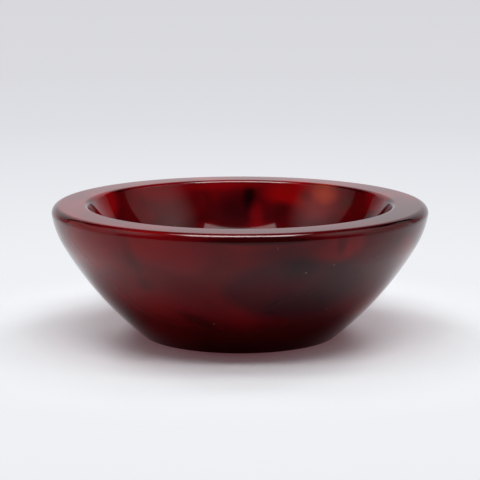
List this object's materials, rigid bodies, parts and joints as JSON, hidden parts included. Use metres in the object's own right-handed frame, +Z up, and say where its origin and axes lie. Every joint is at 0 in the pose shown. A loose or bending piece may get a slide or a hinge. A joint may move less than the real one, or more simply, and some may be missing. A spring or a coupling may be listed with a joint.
{
  "type": "coconut shell bowl",
  "caption": "Thick-walled round bowl: a half coconut shell cased in glossy marbled dark red resin, with a wide flat rim and a flat foot. It holds small foods or oddments.",
  "frame": {"origin": "middle of the flat foot, on the table", "axes": "+Z up along the axis that every piece is turned about, X and Y free"},
  "size_m": [0.13, 0.13, 0.0455],
  "materials": {
    "coconut_shell": "sanded",
    "marbled_resin": "polished"
  },
  "bodies": {
    "root": {"coconut_shell": "coconut_shell", "inner_lining": "marbled_resin", "outer_jacket": "marbled_resin", "rim_ring": "marbled_resin", "base_disc": "marbled_resin"}
  },
  "joints": []
}
